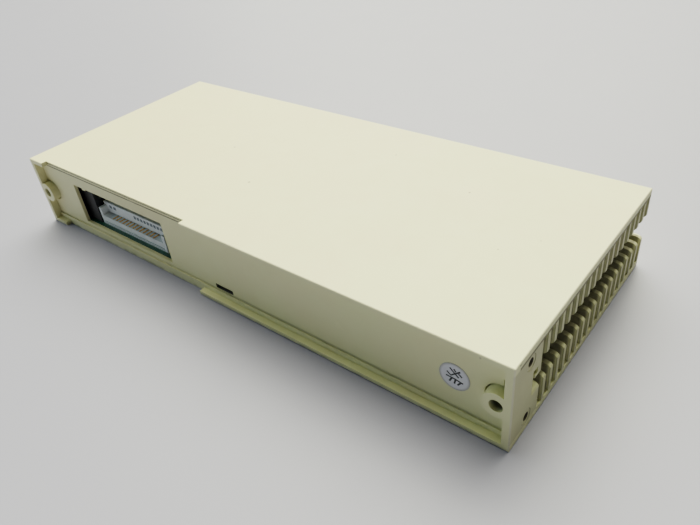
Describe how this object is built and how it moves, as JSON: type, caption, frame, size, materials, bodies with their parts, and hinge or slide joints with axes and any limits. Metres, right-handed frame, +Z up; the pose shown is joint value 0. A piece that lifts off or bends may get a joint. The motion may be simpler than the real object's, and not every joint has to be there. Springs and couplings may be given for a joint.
{
  "type": "plc module",
  "caption": "Flat rack-mounted controller module with finned ends, a rear connector window, two screw sleeves and a front panel with dials, switches and a multi-way connector.",
  "frame": {"origin": "middle of the large lower face, on the surface that the module lies on", "axes": "+X along the length, +Y from the rear (backplane side) to the front, +Z up through the thickness"},
  "size_m": [0.25, 0.1064, 0.0345],
  "materials": {
    "case_plastic": "moulded cream plastic, fine even texture",
    "front_panel_plastic": "moulded cream plastic",
    "board_laminate": "green solder mask over glass laminate",
    "connector_white": "white moulded connector plastic",
    "contact_gold": "gold-plated contact",
    "chip_black": "black moulding compound with tinned legs",
    "socket_black": "black moulded plastic",
    "steel_plated": "zinc-plated steel",
    "sleeve_blue": "dark blue capacitor sleeve",
    "ceramic_tan": "dipped ceramic",
    "resistor_red": "red-brown conformal coat",
    "potting_black": "black potted case",
    "ferrite_grey": "ferrite",
    "copper_wire": "enamelled copper wire",
    "coupler_white": "white moulding compound",
    "sheet_black": "black insulating sheet",
    "sticker_paper": "white coated paper",
    "label_paper": "blank write-on paper",
    "light_green": "diffusing light body",
    "window_smoke": "smoked red window",
    "switch_black": "black switch body",
    "dial_white": "white dial",
    "switch_red": "red switch body",
    "slider_white": "white slider",
    "button_red": "red button"
  },
  "bodies": {
    "housing": {"bottom_cover": "case_plastic", "top_cover": "case_plastic", "end_block_left": "case_plastic", "end_block_right": "case_plastic", "cover_rivets": "case_plastic", "rear_panel": "case_plastic", "front_panel": "front_panel_plastic", "inspection_sticker": "sticker_paper", "insulation_sheet": "sheet_black", "main_board": "board_laminate", "main_board_screws": "steel_plated", "backplane_connector": "connector_white", "backplane_contacts": "contact_gold", "logic_chips": "chip_black", "processor_chip": "chip_black", "memory_socket": "socket_black", "memory_chip": "chip_black", "clock_crystal": "steel_plated", "filter_capacitors": "sleeve_blue", "bypass_capacitors": "ceramic_tan", "resistor_networks": "resistor_red", "power_converter": "potting_black", "choke_core": "ferrite_grey", "choke_winding": "copper_wire", "stack_header": "socket_black", "stack_socket": "socket_black", "io_board": "board_laminate", "board_spacers": "steel_plated", "io_board_screws": "steel_plated", "photocouplers": "coupler_white", "driver_transistors": "chip_black", "io_connector_shell": "steel_plated", "io_connector_insulator": "socket_black", "io_connector_contacts": "contact_gold", "jack_nuts": "steel_plated", "front_board": "board_laminate", "status_lights": "light_green", "light_window": "window_smoke", "blank_label": "label_paper", "unit_switch_bodies": "switch_black", "mode_switch_body": "switch_red", "reset_switch_body": "switch_black"},
    "tens_dial": {"unit_dial_tens": "dial_white"},
    "ones_dial": {"unit_dial_ones": "dial_white"},
    "slider_1": {"mode_slider_1": "slider_white"},
    "slider_2": {"mode_slider_2": "slider_white"},
    "slider_3": {"mode_slider_3": "slider_white"},
    "slider_4": {"mode_slider_4": "slider_white"},
    "button": {"reset_button": "button_red"}
  },
  "joints": [
    {"name": "tens_dial_turn", "type": "hinge", "parent": "housing", "child": "tens_dial", "pos_m": [-0.033, 0.05, 0.01725], "axis": [0, 1, 0], "continuous": true},
    {"name": "ones_dial_turn", "type": "hinge", "parent": "housing", "child": "ones_dial", "pos_m": [-0.05, 0.05, 0.01725], "axis": [0, 1, 0], "continuous": true},
    {"name": "slider_1_slide", "type": "slide", "parent": "housing", "child": "slider_1", "axis": [0, 0, 1], "range_m": [0, 0.0018]},
    {"name": "slider_2_slide", "type": "slide", "parent": "housing", "child": "slider_2", "axis": [0, 0, 1], "range_m": [0, 0.0018]},
    {"name": "slider_3_slide", "type": "slide", "parent": "housing", "child": "slider_3", "axis": [0, 0, 1], "range_m": [0, 0.0018]},
    {"name": "slider_4_slide", "type": "slide", "parent": "housing", "child": "slider_4", "axis": [0, 0, 1], "range_m": [0, 0.0018]},
    {"name": "button_press", "type": "slide", "parent": "housing", "child": "button", "axis": [0, -1, 0], "range_m": [0, 0.001], "stiffness_N_per_m": 1200, "springref_m": -0.0005}
  ]
}
